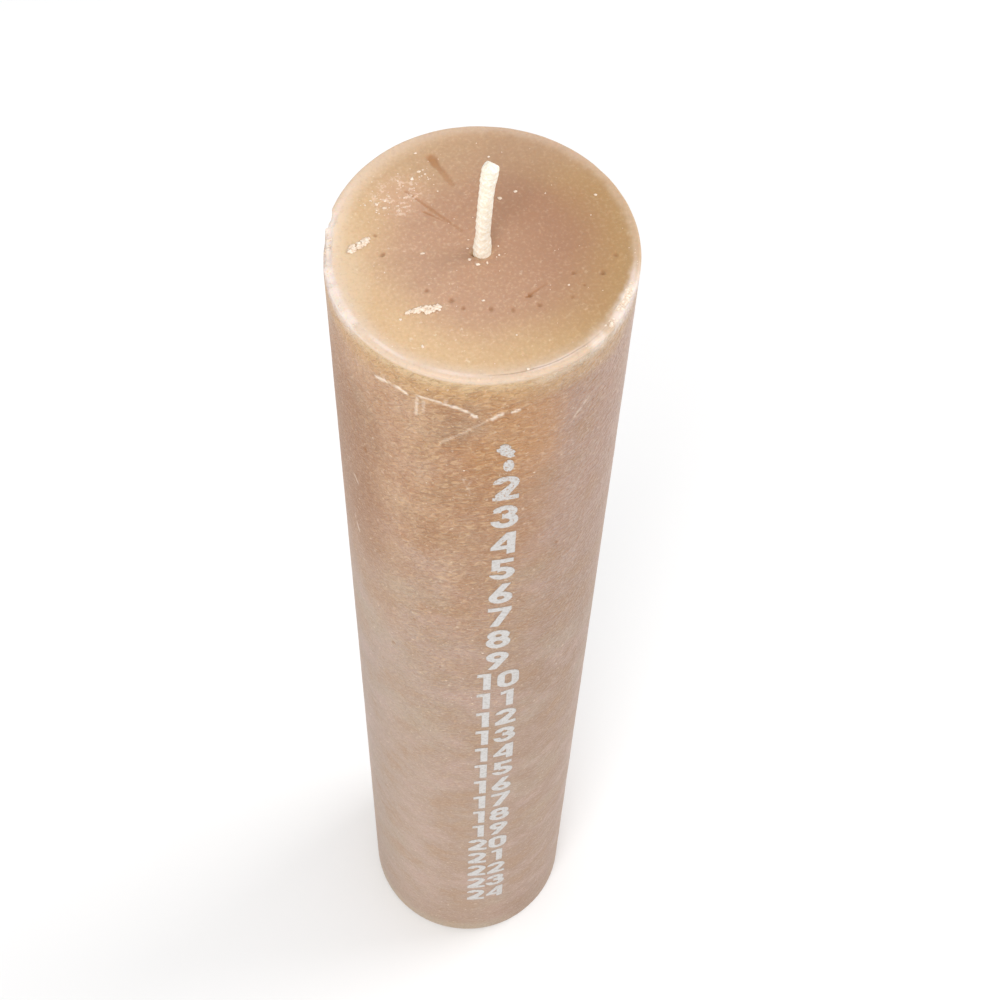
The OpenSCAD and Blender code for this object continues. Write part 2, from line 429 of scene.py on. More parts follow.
def yarn(way, phase, low, high):
    """One yarn of the braid, winding up the wick and passing over and under the others."""
    line = bpy.data.curves.new("yarn", "CURVE")
    line.dimensions, line.bevel_depth, line.bevel_resolution = "3D", YARN_R, 3
    line.use_fill_caps = True
    spline = line.splines.new("POLY")
    spline.points.add(YARN_STEPS)
    for k in range(YARN_STEPS + 1):
        z = low + (high - low) * k / YARN_STEPS
        turn = way * 2 * math.pi * (z - low) / YARN_PITCH + phase
        over = math.cos(4 * 2 * math.pi * (z - low) / YARN_PITCH + way * phase * 4)
        c, r = wick_centre(z), (0.82 + 0.08 * way * over) * MM
        spline.points[k].co = (c.x + r * math.cos(turn), c.y + r * math.sin(turn), z, 1)
    strand = bpy.data.objects.new("yarn", line)
    bpy.context.scene.collection.objects.link(strand)
    return strand


def round_bar(name, sides, radius, low, high):
    """A plain upright bar on the axis, as a start."""
    bpy.ops.object.select_all(action="DESELECT")
    bpy.ops.mesh.primitive_cylinder_add(vertices=sides, radius=radius, depth=high - low,
                                        location=(0, 0, (low + high) / 2))
    piece = call(name)
    bpy.ops.object.transform_apply(location=True, rotation=False, scale=False)
    return piece


def braided(low, high):
    """Eight yarns braided round a core, melted together by the wax they are sunk in."""
    yarns = [yarn(1 if i % 2 else -1, math.pi / 2 * (i // 2) + (i % 2) * math.pi / 4, low, high)
             for i in range(YARNS)]
    braid = round_bar("wick_braid", 24, CORE_R, low, high)
    open_all(braid)
    bpy.ops.mesh.subdivide(number_cuts=2)
    close()
    put(braid, [[p[0] + wick_centre(p[2]).x, p[1], p[2]] for p in points(braid)])
    take(yarns[0])
    for strand in yarns:
        strand.select_set(True)
    bpy.ops.object.convert(target="MESH")
    braid.select_set(True)
    bpy.context.view_layer.objects.active = braid
    bpy.ops.object.join()
    finish_with(braid, "REMESH", mode="VOXEL", voxel_size=0.10 * MM)
    finish_with(braid, "SMOOTH", factor=0.5, iterations=36)
    return braid


def swollen(at):
    """The braid's points, spread where wax has gathered round its foot and its tip."""
    centre = np.array([wick_centre(z) for z in at[:, 2]])
    foot = 1 - ease(at[:, 2], WAX_TOP, WAX_TOP + 4 * MM)
    tip = ease(at[:, 2], WICK_HIGH.z - 6.5 * MM, WICK_HIGH.z - 3.5 * MM)
    swell = 1.06 + 0.24 * foot + 0.12 * tip + 0.06 * lumps(at, 2, 11)
    at[:, :2] = centre[:, :2] + (at[:, :2] - centre[:, :2]) * swell[:, None]
    return at


def snipped(at):
    """The braid's points, with its tip snipped from both sides so that a short ridge is left."""
    across, back = at[:, 0] - 0.75 * MM, at[:, 1]
    roof = -np.maximum(0.75 * across, -1.0 * across) - np.maximum(0.8 * back, -0.25 * back)
    roof += 0.15 * MM * lumps(at * [1, 1, 0], 0.8, 16)
    start, end = WICK_HIGH.z - 5 * MM, at[:, 2].max()
    lift = np.clip((at[:, 2] - start) / (end - start), 0, 1)
    tip = roof - roof.max() + WICK_HIGH.z - 0.1 * MM
    at[:, 2] += np.where(lift > 0, start + lift * (tip - start) - at[:, 2], 0)
    return at


def wick():
    """The braided free end, on the plain length that runs down to the sustainer."""
    braid = braided(BRAID_LOW, WICK_HIGH.z)
    put(braid, snipped(swollen(points(braid))))
    rod = round_bar("wick_rod", 32, ROD_R, WICK_LOW.z, BRAID_LOW + LAP)
    open_all(rod)
    bpy.ops.mesh.bevel(offset=0.15 * MM, segments=2)
    close()
    take(rod)
    braid.select_set(True)
    bpy.context.view_layer.objects.active = braid
    bpy.ops.object.join()
    take(braid)
    bpy.ops.object.shade_smooth_by_angle(angle=math.radians(50))
    return braid


# ---- Printed numbers ----

FILM_THICK, FILM_GAP, FILM_CELL = 0.1 * MM, 0.03 * MM, 0.3 * MM
# Outlines of what is left of the worn number 1, from the middle of its foot, in mm
WORN_ONE = [[(-0.8, 9.1), (0.0, 8.8), (0.5, 8.1), (0.4, 7.4), (1.0, 6.8), (1.35, 6.2),
             (0.95, 5.4), (1.3, 4.7), (0.5, 4.3), (-0.1, 4.7), (-0.6, 5.2), (-1.3, 5.7),
             (-1.4, 6.3), (-2.0, 6.8), (-2.1, 7.6), (-1.4, 7.9), (-1.5, 8.6)],
            [(0.24 + 1.0 * math.cos(a), 1.65 + 2.0 * math.sin(a))
             for a in np.arange(0, 6.28, 0.45)]]
# The numbers with badly nicked edges
NICKED = ("number_02", "number_03")


def stencil(outline, low, at_x):
    """A straight prism through the wall with this outline, to cut a film with."""
    bpy.ops.object.select_all(action="DESELECT")
    bpy.ops.mesh.primitive_circle_add(vertices=len(outline), radius=1 * MM, fill_type="NGON")
    piece = call("stencil")
    put(piece, [(at_x + x * MM, -WAX_R - 1 * MM, low + z * MM) for x, z in outline])
    open_all(piece)
    bpy.ops.mesh.extrude_region_move(TRANSFORM_OT_translate={"value": (0, 2 * MM, 0)})
    bpy.ops.mesh.select_all(action="SELECT")
    bpy.ops.mesh.normals_make_consistent(inside=False)
    close()
    return piece


def joined(pieces):
    """Many pieces made one."""
    take(pieces[0])
    for piece in pieces:
        piece.select_set(True)
    bpy.ops.object.join()
    return bpy.context.object


def digit_stencil(node):
    """The node's own films, pushed out both ways so that they cut right through."""
    piece = bpy.data.objects.new("stencil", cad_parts[node].data.copy())
    bpy.context.scene.collection.objects.link(piece)
    open_all(piece)
    bpy.ops.mesh.remove_doubles(threshold=0.001 * MM)
    close()
    at = points(piece)
    outer = np.hypot(at[:, 0], at[:, 1]) > WAX_R + 0.07 * MM
    at[:, 1] += np.where(outer, -1, 1) * 0.7 * MM
    put(piece, at)
    return piece


def trimmed(film, tool, operation):
    """Cuts a film with a stencil, which is used up."""
    finish_with(film, "BOOLEAN", operation=operation, object=tool, solver="EXACT")
    bpy.data.objects.remove(tool)


def laid_skin(name, low, high):
    """A thin skin that lies on the lumpy wax over the whole place of a number."""
    wide, tall = high.x - low.x + 1.8 * MM, high.z - low.z + 2 * MM
    middle = (low + high) / 2
    bpy.ops.object.select_all(action="DESELECT")
    bpy.ops.mesh.primitive_grid_add(x_subdivisions=round(wide / FILM_CELL),
                                    y_subdivisions=round(tall / FILM_CELL),
                                    size=1, rotation=(math.pi / 2, 0, 0))
    film = call(name)
    film.scale = (wide, tall, 1)
    bpy.ops.object.transform_apply(location=False, rotation=True, scale=True)
    at = points(film) + np.array([middle.x, 0, middle.z])
    at[:, 1] = -np.sqrt(WAX_R ** 2 - at[:, 0] ** 2)
    at[:, :2] *= (1 - (wall_hollow(at) + FILM_GAP) / WAX_R)[:, None]
    put(film, at)
    finish_with(film, "SOLIDIFY", thickness=FILM_THICK, offset=1.0)
    return film


def nicks(node, low, high):
    """Ragged stencils along both edges of a number, to nick it with."""
    chance = random.Random(node)
    count, smallest, largest = (9, 0.25, 0.5) if node in NICKED else (3, 0.12, 0.26)
    tools = []
    for _ in range(count):
        size = chance.uniform(smallest, largest)
        side = chance.choice((low.x, high.x)) + chance.uniform(-0.3, 0.3) * MM
        outline = [(size * chance.uniform(0.6, 1.2) * math.cos(a),
                    size * chance.uniform(0.6, 1.2) * math.sin(a))
                   for a in np.arange(0, 6.28, 0.9)]
        tools.append(stencil(outline, chance.uniform(low.z, high.z), side))
    return tools


def printed_number(node):
    """A thin skin of white print, cut to the node's digits and nicked along their edges."""
    low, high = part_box(node)
    film = laid_skin(node + "_print", low, high)
    if node == NUMBERS[0]:
        digits = joined([stencil(outline, low.z, 0) for outline in WORN_ONE])
    else:
        digits = digit_stencil(node)
    trimmed(film, digits, "INTERSECT")
    for nick in nicks(node, low, high):
        trimmed(film, nick, "DIFFERENCE")
    at = points(film)
    flat = at * np.array([1, 0, 1])
    at[:, 0] += MM * 0.05 * lumps(flat, 0.7, 12)
    at[:, 2] += MM * 0.05 * lumps(flat, 0.7, 13)
    put(film, at)
    take(film)
    bpy.ops.object.shade_smooth_by_angle(angle=math.radians(50))
    return film


# ---- Flakes and crumbs of wax ----

# Shavings on the top face, each a heap of crumbs along a line of (x, y, half width) points, in mm
SHAVINGS = [[(-15, -11.2, 0.2), (-14, -10.9, 0.3), (-12.9, -10.9, 0.35), (-12.1, -10.6, 0.35),
             (-11.3, -11.2, 0.6), (-10.3, -11.1, 0.65), (-9.5, -10.8, 0.5), (-9.2, -10.6, 0.2)],
            [(-22.6, 3.1, 0.25), (-21.8, 3.8, 0.5), (-20.9, 4.2, 0.6), (-20, 4.7, 0.55),
             (-19.4, 5, 0.35), (-19, 5.4, 0.15)]]
SHAVING_CRUMBS = 18
# Rows of crumbs along the rim: from and to angle from the front, how many and how big,
# in degrees and mm
RIM_CRUMBS = [(-107, -99, 14, 0.4), (-95, -87, 10, 0.35), (-84, -56, 22, 0.25), (51, 62, 90, 0.55),
              (42, 47, 16, 0.35), (62, 68, 12, 0.3), (68, 100, 10, 0.25), (-50, 35, 12, 0.22)]
# x, y and size of the larger crumbs on the top face, in mm
CRUMBS = [(-16.1, -12.2, 0.3), (-10.3, 0.8, 0.35), (-13.4, -18.3, 0.4), (2.5, -18.6, 0.25),
          (-1.7, -10.7, 0.3), (8.0, 11.5, 0.35), (5.0, 10.4, 0.45), (13.1, 10.2, 0.2),
          (21.7, 8.4, 0.25), (13.2, -9.9, 0.2), (-7.9, 22.8, 0.3), (4.8, 19.9, 0.25),
          (3.1, -25.8, 0.35), (-2.4, 0.8, 0.25), (-2.5, -1.7, 0.35), (-1.2, -3.0, 0.4),
          (0.4, -2.8, 0.3), (2.7, -1.6, 0.25), (2.9, 0.3, 0.2), (-9.4, 17.2, 0.4),
          (-8.0, 18.6, 0.35), (-7.0, 17.9, 0.3), (-16.4, 12.6, 0.45), (-15.2, 11.6, 0.4),
          (-14.9, 13.1, 0.3)]
# x, y, spread and number of the crumbs that lie in clusters on the top face, in mm
CLUSTERS = [(-8.7, 17.6, 1.6, 14), (-15.6, 12.4, 1.9, 20), (-12.0, 14.2, 3.4, 18),
            (0.4, -1.2, 2.6, 10)]
# How far from the axis the loose crumbs may lie, clear of the wick and of the rim, in mm
LOOSE_FROM, LOOSE_TO = 1.9, 26.2
# Angle from the front, height and size of the crumbs on the wall, in degrees and mm
WALL_CRUMBS = [(-11.9, 271.9, 0.25), (-16.1, 270.9, 0.35), (-20.2, 260.0, 0.3),
               (-30.8, 263.9, 0.35), (-23.0, 179.6, 0.4), (-14.1, 174.5, 0.25),
               (-11.1, 172.0, 0.3), (-10.7, 165.4, 0.35), (-8.3, 173.3, 0.3), (-8.0, 183.7, 0.3),
               (-31.1, 149.1, 0.3), (-6.4, 195.2, 0.55), (-10.5, 168.8, 0.3), (10.8, 267.7, 0.3),
               (9.8, 266.4, 0.35), (-6.5, 253.1, 0.3), (-12.2, 244.7, 0.2), (2.0, 289.9, 0.4),
               (-11.9, 289.4, 0.4), (-29.7, 294.6, 0.35)]


def crumb(place, size, chance):
    """A small broken lump of wax."""
    bpy.ops.mesh.primitive_ico_sphere_add(subdivisions=1, radius=size * MM, location=place)
    piece = call("crumb")
    bpy.ops.object.transform_apply(location=True, rotation=False, scale=False)
    at = points(piece)
    middle = at.mean(0)
    stretch = np.array([chance.uniform(0.7, 1.4), chance.uniform(0.6, 1.1), 0.55])
    wobble = np.array([[chance.uniform(0.7, 1.25)] for _ in at])
    put(piece, middle + (at - middle) * stretch * wobble)
    return piece


def landed(pillar, start, way):
    """Where a straight line from start meets the wax."""
    return pillar.ray_cast(Vector(start), Vector(way))[1]


def dropped(pillar, x, y):
    """Where a crumb let go above the top face comes to lie, from its x and y in metres."""
    return landed(pillar, (x, y, WAX_TOP + 5 * MM), (0, 0, -1))


def top_crumbs(chance):
    """x, y and size of the single, the clustered and the scattered crumbs of the top, in mm."""
    top = list(CRUMBS)
    for x, y, spread, count in CLUSTERS:
        top += [(chance.gauss(x, spread), chance.gauss(y, spread), chance.uniform(0.08, 0.2))
                for _ in range(count)]
    for _ in range(50):
        angle, r = chance.uniform(0, 6.28), 26 * chance.random() ** 0.5
        top.append((r * math.cos(angle), r * math.sin(angle), chance.uniform(0.06, 0.13)))
    return [(x, y, size) for x, y, size in top if LOOSE_FROM < math.hypot(x, y) < LOOSE_TO]


def wall_crumbs(chance):
    """Angle from the front, height and size of the crumbs on the wall, front and back."""
    front = [(chance.gauss(-20, 22), chance.uniform(150, 292), chance.uniform(0.07, 0.16))
             for _ in range(60)]
    back = [(chance.uniform(60, 300), chance.uniform(20, 292), chance.uniform(0.07, 0.16))
            for _ in range(40)]
    return WALL_CRUMBS + front + back


def wax_crumbs(pillar):
    """Crumbs on the top face, thicker where it is scuffed or chipped, and a few on the wall."""
    chance = random.Random(24)
    bpy.ops.object.select_all(action="DESELECT")
    top, wall = top_crumbs(chance), wall_crumbs(chance)
    pieces = [crumb(dropped(pillar, x * MM, y * MM), size, chance) for x, y, size in top]
    for angle, z, size in wall:
        out = Vector((math.sin(math.radians(angle)), -math.cos(math.radians(angle)), 0))
        place = landed(pillar, out * (WAX_R + 5 * MM) + Vector((0, 0, z * MM)), -out)
        pieces.append(crumb(place - out * size * 0.55 * MM, size, chance))
    for line in SHAVINGS:
        for (x0, y0, w0), (x1, y1, w1) in zip(line, line[1:]):
            for _ in range(SHAVING_CRUMBS):
                t = chance.random()
                w = w0 + (w1 - w0) * t
                place = dropped(pillar, (x0 + (x1 - x0) * t + chance.uniform(-w, w)) * MM,
                                (y0 + (y1 - y0) * t + chance.uniform(-w, w)) * MM)
                place.z += chance.uniform(0, 0.2) * MM
                pieces.append(crumb(place, chance.uniform(0.25, 0.45), chance))
    for start, end, count, size in RIM_CRUMBS:
        for _ in range(count):
            a = math.radians(chance.uniform(start, end))
            r = WAX_R - (size + chance.uniform(0.2, 1.0)) * MM
            place = dropped(pillar, r * math.sin(a), -r * math.cos(a))
            place.z -= 0.1 * MM
            pieces.append(crumb(place, size * chance.uniform(0.5, 1.1), chance))
    crumbs = joined(pieces)
    crumbs.name = crumbs.data.name = "wax_crumbs"
    take(crumbs)
    bpy.ops.object.shade_smooth()
    return crumbs


# ---- Finishes ----

# The outputs of Texture Coordinate, Attribute and a colour Mix that are used
OBJECT_OUT, AMOUNT_OUT, COLOUR_OUT = 3, 2, 2


def tint(red, green, blue):
    """A colour from its 0 to 255 screen values."""
    return tuple((c / 255 / 12.92 if c <= 10 else ((c / 255 + 0.055) / 1.055) ** 2.4)
                 for c in (red, green, blue)) + (1.0,)


# The top face: each pair is its side away from the light, then its lit side
MIDDLE = tint(164, 122, 94), tint(194, 156, 129)
# The outer ring's yellow is partly the wax's own tint and partly painted glow of light through the
# thin edge
OUTER_YELLOW_AND_GLOW = tint(174, 138, 92), tint(211, 178, 139)
BACK = tint(182, 148, 124), tint(202, 170, 132)
# The second colour here is a pale outer edge laid on mostly where the top is lit: a painted
# highlight
LEFT_EDGE, EDGE_LIGHT = tint(234, 216, 190), tint(222, 200, 178)
# The rim: plain, then where it is partly rubbed white and partly painted highlight
RIM_WHITE_AND_HIGHLIGHT = tint(214, 193, 174), tint(234, 220, 212)
# A thin line of painted highlight along the rim, then a crease of painted shade
RIM_HIGHLIGHT_LINE, CREASE_SHADE = tint(238, 224, 216), tint(150, 118, 92)
# The wall: each pair is its left, then its right
WALL_HIGH = tint(172, 125, 84), tint(167, 132, 112)
WALL_LOW = tint(160, 132, 111), tint(151, 119, 95)
UNDER_TOP = tint(194, 152, 100), tint(190, 154, 112)
# The lip under the rim is paler: a painted highlight
LIP_HIGHLIGHT = tint(208, 178, 136), tint(206, 184, 160)
FOOT = tint(158, 128, 106), tint(140, 104, 78)
FOOT_EDGE = tint(176, 160, 138), tint(154, 124, 102)
# Ripple crests are paler with painted highlight, hollows darker with painted shade
RIPPLE_CREST_HIGHLIGHT = tint(224, 188, 146), tint(214, 190, 176)
RIPPLE_HOLLOW_SHADE = tint(142, 94, 54), tint(148, 108, 84)
# The wall's paler left front, painted light where it faces the key lamp: low down, then high up
LEFT_FRONT_LIGHT = tint(172, 148, 130), tint(190, 150, 118)
PINK_CLOUD, BROWN_CLOUD, GREY_CLOUD = tint(180, 150, 138), tint(160, 122, 86), tint(166, 148, 126)
PALE_STREAK, DARK_STREAK = tint(204, 172, 138), tint(158, 106, 60)
# The lip's white where rubbed is partly rubbed wax and partly painted highlight
GOLDEN, LIP_RUBBED_AND_HIGHLIGHT = tint(182, 130, 76), tint(222, 204, 196)
# The pale bloom on the right is partly bloom on the wax and partly painted sheen
LEFT_SHADE, RIGHT_BLOOM_AND_SHEEN = tint(140, 88, 38), tint(190, 164, 152)
RIGHT_WARMTH, LEFT_FOOT_SHADE = tint(100, 40, 10), tint(90, 55, 45)
# Crystals, specks and the marks of handling, all over; the pits and scored marks are darkened with
# painted shade
DARK_GRAIN, PALE_GRAIN, SPECK = tint(150, 108, 78), tint(226, 196, 164), tint(244, 226, 202)
PIT_SHADE, SCORE_SHADE = tint(150, 100, 56), tint(164, 112, 66)
SCUFF, FROST = tint(206, 162, 138), tint(238, 214, 194)
# The white along the cracks is partly whitened wax and partly painted glint
CHIP, CRACK_WHITE_AND_GLINT = tint(236, 222, 212), tint(246, 230, 212)
# The other finishes
CRUMB = tint(214, 190, 166), tint(238, 224, 208)
COTTON = tint(240, 229, 208), tint(254, 250, 241)
PRINT, WAX_THROUGH_PRINT = (tint(202, 199, 197), tint(178, 172, 166)), tint(168, 132, 104)
TIN = tint(196, 196, 192), tint(176, 177, 176)
FLOOR = tint(246, 246, 246)


class Flow:
    """A socket of a finish. Arithmetic on it adds Math nodes, and node() adds any other node."""

    def __init__(self, tree, socket=None):
        self.tree, self.socket = tree, socket

    def node(self, kind, settings=None, sockets=None, out=0):
        """Adds a node with these settings, and these values or links on its sockets."""
        made = self.tree.nodes.new(kind)
        for name, value in (settings or {}).items():
            setattr(made, name, value)
        for name, value in (sockets or {}).items():
            if isinstance(value, Flow):
                self.tree.links.new(value.socket, made.inputs[name])
            else:
                made.inputs[name].default_value = value
        return Flow(self.tree, made.outputs[out])

    def maths(self, operation, *values):
        return self.node("ShaderNodeMath", {"operation": operation}, dict(enumerate(values)))

    def __add__(self, other):
        return self.maths("ADD", self, other)

    def __radd__(self, other):
        return self.maths("ADD", other, self)

    def __sub__(self, other):
        return self.maths("SUBTRACT", self, other)

    def __rsub__(self, other):
        return self.maths("SUBTRACT", other, self)

    def __mul__(self, other):
        return self.maths("MULTIPLY", self, other)

    def __rmul__(self, other):
        return self.maths("MULTIPLY", other, self)

    def step(self, low, high, value):
        """0 where value is under low, 1 over high, and smooth between."""
        return self.node("ShaderNodeMapRange", {"interpolation_type": "SMOOTHSTEP"},
                         {"Value": value, "From Min": low, "From Max": high})

    def rise(self, low, high, length):
        """A step whose low and high are in mm."""
        return self.step(low * MM, high * MM, length)

    def sway(self, size):
        """A noise made a length to either side of 0, this many mm from end to end."""
        return (self - 0.5) * (size * MM)

    def mix(self, amount, first, second):
        """Two colours mixed: amount 0 gives the first."""
        return self.node("ShaderNodeMix", {"data_type": "RGBA"},
                         {0: amount, 6: first, 7: second}, out=COLOUR_OUT)

    def blend(self, amount, first, second):
        """Two numbers mixed: amount 0 gives the first."""
        return self.node("ShaderNodeMix", {"data_type": "FLOAT"},
                         {0: amount, 2: first, 3: second})

    def noise(self, at, size, detail=2.0, rough=0.5, twist=0.0):
        """Noise with lumps of about this size in mm."""
        return self.node("ShaderNodeTexNoise", None,
                         {"Vector": at, "Scale": 1 / (size * MM), "Detail": detail,
                          "Roughness": rough, "Distortion": twist})

    def stretched(self, at, sizes, turn=(0, 0, 0)):
        """Coordinates stretched along X, Y and Z, after a turn."""
        return self.node("ShaderNodeMapping", {"vector_type": "TEXTURE"},
                         {"Vector": at, "Rotation": turn, "Scale": sizes})

    def places(self):
        """The object's own coordinates."""
        return self.node("ShaderNodeTexCoord", out=OBJECT_OUT)

    def along(self, at, axis):
        """One of the three coordinates."""
        return self.node("ShaderNodeSeparateXYZ", None, {0: at}, out=axis)

    def painted(self, name):
        """A number that is stored on the mesh's points."""
        return self.node("ShaderNodeAttribute", {"attribute_name": name}, out=AMOUNT_OUT)

    def reach(self, x, y):
        """How far the point (x, y) lies from (0, 0)."""
        return self.maths("SQRT", x * x + y * y)

    def bump(self, height, strength):
        """A normal from a height in metres."""
        return self.node("ShaderNodeBump", None,
                         {"Strength": strength, "Distance": 1.0, "Height": height})


def new_finish(name):
    """An empty material and the flow that fills it."""
    material = bpy.data.materials.new(name)
    material.use_nodes = True
    material.node_tree.nodes.clear()
    return material, Flow(material.node_tree)


def close_finish(flow, **sockets):
    """Ends a finish in its shader and output."""
    names = {key.replace("_", " "): value for key, value in sockets.items()}
    shader = flow.node("ShaderNodeBsdfPrincipled", None, names)
    end = flow.tree.nodes.new("ShaderNodeOutputMaterial")
    flow.tree.links.new(shader.socket, end.inputs["Surface"])


def wax_places(f):
    """Where a point lies on the pillar, as the amounts that the wax's colours are laid out by."""
    at = f.places()
    x, y, z = (f.along(at, axis) for axis in range(3))
    warp, fade = f.noise(at, 12, 3.0), f.noise(at, 3.5, 3.0)
    lit = x * -0.85 - y * 0.35
    # The rim's white patches at the left and the right front are partly rubbed wax and partly
    # painted highlight
    white_left = f.rise(-22.2, -27.2, x + fade.sway(6))
    white_right = f.rise(18.0, 22.2, x + fade.sway(4)) * f.rise(-6, -13, y)
    return SimpleNamespace(
        at=at, x=x, y=y, z=z, r=f.reach(x, y), warp=warp, fade=fade, lit=lit,
        top=f.step(WAX_TOP - 1.6 * MM, WAX_TOP - 0.7 * MM, z),
        bright=f.rise(-19, 21, lit + warp.sway(8)),
        rubbed_and_lit=f.maths("MAXIMUM", white_left, white_right),
        high=f.rise(170, 280, z + warp.sway(60)),
        side=f.rise(-2, 14, x + warp.sway(12) + f.noise(at, 4, 2.0).sway(8)))


def top_colour(f, w):
    """The top face: a mauve-brown middle that turns yellow outwards, palest at the left, shaded by
    painted light, its yellow partly painted light shining through the thin edge.
    """
    spread = w.r + w.warp.sway(6) + w.lit * 0.10
    # The outer yellow is partly painted glow of light through the thin edge; each pair is shaded
    # by painted light
    face = f.mix(f.rise(11.8, 24.5, spread), f.mix(w.bright, *MIDDLE), f.mix(w.bright, *OUTER_YELLOW_AND_GLOW))
    face = f.mix(f.rise(8, 22, w.y) * 0.6, face, f.mix(w.bright, *BACK))
    face = f.mix(f.rise(-18.5, -25.5, w.x + w.warp.sway(4)) * 0.4, face, LEFT_EDGE)
    # A pale outer edge, mostly where the top is lit: a painted highlight
    return f.mix(f.rise(23.2, 26.2, w.r) * (0.05 + w.bright * 0.62), face, EDGE_LIGHT)


def rim_colour(f, w, face):
    """The rim: pale with painted highlight, whiter where it is worn white and lit, with a broken
    line of painted highlight and a fine groove line of painted shade.
    """
    ahead = f.rise(12, -4, w.y + w.x * 0.5)
    # A painted highlight reaches further in at the right front
    highlight_spread = f.rise(8.5, 3.5, f.reach(w.x - 18.5 * MM, w.y + 18.5 * MM))
    edge = w.r + highlight_spread * (0.6 * MM) + f.noise(w.at, 2, 3.0).sway(1.6)
    # The rim is pale partly from painted highlight, most at the front and where it is rubbed and
    # lit
    amount = f.rise(25.0, 26.8, edge) * (0.40 + ahead * 0.18 + w.rubbed_and_lit * 0.32)
    face = f.mix(amount, face, f.mix(w.rubbed_and_lit, *RIM_WHITE_AND_HIGHLIGHT))
    # A broken line of painted highlight along the rim
    highlight_line = f.rise(25.7, 26.2, w.r + w.fade.sway(0.6)) * f.rise(26.9, 26.4, w.r) * ahead
    face = f.mix(highlight_line * f.step(0.40, 0.62, w.warp) * 0.5, face, RIM_HIGHLIGHT_LINE)
    # A fine crease of painted shade along the front of the rim
    crease_shade = f.rise(0.22, 0, f.maths("ABSOLUTE", w.r - 26.3 * MM + w.fade.sway(0.4)))
    crease_shade = crease_shade * f.rise(-6, 0, w.x) * f.rise(-18, -23, w.y)
    return f.mix(crease_shade * 0.55, face, CREASE_SHADE)


def wall_colour(f, w):
    """The wall: warm tan near the top left, cooler and pinker lower down and to the right, with
    painted light on the left front, on the rounded edge under the rim and on the right.
    """
    wall = f.mix(w.high, f.mix(w.side, *WALL_LOW), f.mix(w.side, *WALL_HIGH))
    # Painted light: paler where the left front faces the key lamp
    left_front_light = f.rise(-8, -18, w.x) * f.rise(-3, -15, w.y)
    wall = f.mix(left_front_light * 0.5, wall, f.mix(w.high, *LEFT_FRONT_LIGHT))
    clouds = f.noise(w.at, 11, 4.0, 0.6)
    wall = f.mix(f.step(0.45, 0.70, clouds) * (0.55 - w.high * 0.35), wall, PINK_CLOUD)
    wall = f.mix(f.step(0.50, 0.34, clouds) * 0.45, wall, BROWN_CLOUD)
    wall = f.mix(f.step(0.50, 0.72, f.noise(w.at, 16, 3.0)) * 0.35, wall, GREY_CLOUD)
    streaks = f.noise(f.stretched(w.at, (1, 1, 2.2)), 6, 3.0)
    pale = f.step(0.45, 0.68, streaks) * w.high * f.rise(0, -12, w.x)
    wall = f.mix(pale * 0.3, wall, PALE_STREAK)
    dark = f.step(0.52, 0.32, streaks) * w.high * f.rise(12, -2, w.x)
    wall = f.mix(dark * 0.4, wall, DARK_STREAK)

    band = f.step(WAX_TOP - 10 * MM, WAX_TOP - 4 * MM, w.z + w.warp.sway(8))
    wall = f.mix(band * 0.75, wall, f.mix(w.side, *UNDER_TOP))
    golden = f.rise(10.5, 3.5, f.maths("ABSOLUTE", w.x - 1.5 * MM + w.warp.sway(10)))
    golden = golden * f.rise(4, -4, w.y)
    golden = golden * f.rise(262, 274, w.z + w.warp.sway(12)) * f.rise(295, 289, w.z)
    wall = f.mix(golden * 0.55, wall, GOLDEN)
    # A painted highlight along the lip under the rim, whiter where it is rubbed and lit
    lip_highlight = f.step(WAX_TOP - 4.4 * MM, WAX_TOP - 1.7 * MM, w.z + w.fade.sway(2.4))
    wall = f.mix(lip_highlight * 0.85, wall, f.mix(w.rubbed_and_lit, f.mix(w.side, *LIP_HIGHLIGHT), LIP_RUBBED_AND_HIGHLIGHT))

    left = f.rise(-19.0, -24.5, w.x) * f.rise(190, 240, w.z) * f.rise(292, 270, w.z)
    wall = f.mix(left * 0.75, wall, LEFT_SHADE)
    # Paler on the upper right: partly bloom on the wax, partly painted sheen
    wall = f.mix(f.rise(20.0, 26.8, w.x) * w.high * 0.35, wall, RIGHT_BLOOM_AND_SHEEN)
    wall = f.mix(f.rise(14.0, 21.5, w.x) * f.rise(285, 265, w.z) * 0.11, wall, RIGHT_WARMTH)
    low_left = f.rise(-21.0, -26.5, w.x) * f.rise(200, 160, w.z)
    wall = f.mix(low_left * 0.11, wall, LEFT_FOOT_SHADE)
    wall = f.mix(f.rise(34, 10, w.z) * 0.5, wall, f.mix(w.side, *FOOT))
    return f.mix(f.rise(9, 3, w.z) * 0.6, wall, f.mix(w.side, *FOOT_EDGE))


def wall_skin(f, w):
    """Ripples that rise to the front on the left and small round creases on the right."""
    tipped = f.stretched(w.at, (1, 1, 1), (math.radians(-60), 0, 0))
    level = f.noise(f.stretched(tipped, (2.8, 2.5, 1)), 0.54, 2.0, 0.5, 0.8)
    creased = f.noise(w.at, 1.1, 2.5, 0.55, 0.4)
    strong = (0.2 + f.rise(80, 300, w.z) * 0.8) * (0.5 + f.rise(-25, -14, w.x) * 0.5)
    return f.blend(w.side, level, creased), strong


def rippled(f, w, wall, ripples, strong):
    """The wall's colour, with painted highlight on the crests of its ripples and painted shade in
    the hollows.
    """
    amount = 0.38 - w.side * 0.16
    wall = f.mix(f.step(0.50, 0.68, ripples) * strong * amount, wall, f.mix(w.side, *RIPPLE_CREST_HIGHLIGHT))
    return f.mix(f.step(0.50, 0.34, ripples) * strong * amount, wall,
                 f.mix(w.side, *RIPPLE_HOLLOW_SHADE))


